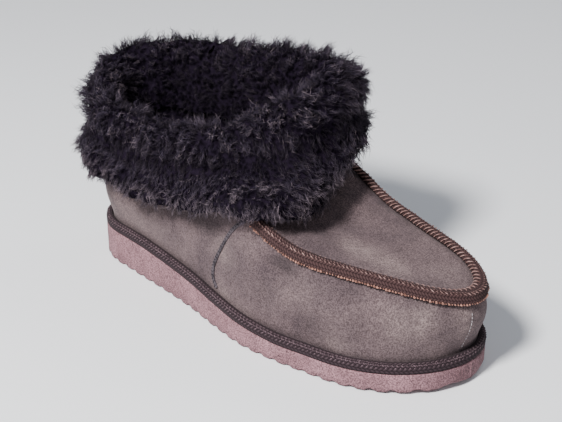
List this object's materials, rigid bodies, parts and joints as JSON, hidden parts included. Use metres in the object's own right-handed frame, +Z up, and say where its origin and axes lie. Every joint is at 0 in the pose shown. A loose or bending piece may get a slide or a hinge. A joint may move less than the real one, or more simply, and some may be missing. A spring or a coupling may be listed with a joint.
{
  "type": "slipper",
  "caption": "Right-foot sheepskin slipper with a suede moccasin upper, a turned-down wool cuff, braided bindings and a ribbed foam sole.",
  "frame": {"origin": "on the floor, in the middle of a sole rib under the heel", "axes": "+X to the toe, +Y to the inner side of the foot, +Z up"},
  "size_m": [0.3057, 0.1364, 0.1538],
  "materials": {
    "foam_sole": "matt microcellular foam",
    "wool": "deep curly wool pile",
    "sheepskin_sock": "short matted wool",
    "suede": "mottled suede nap",
    "welt_tape": "herringbone braid",
    "apron_tape": "braid with copper stitches",
    "seam_cord": "matt cord"
  },
  "bodies": {
    "root": {"outsole": "foam_sole", "insole": "sheepskin_sock", "upper": "suede", "welt_binding": "welt_tape", "apron_binding": "apron_tape", "side_seam_outer": "seam_cord", "side_seam_inner": "seam_cord", "wool_cuff": "wool"}
  },
  "joints": []
}
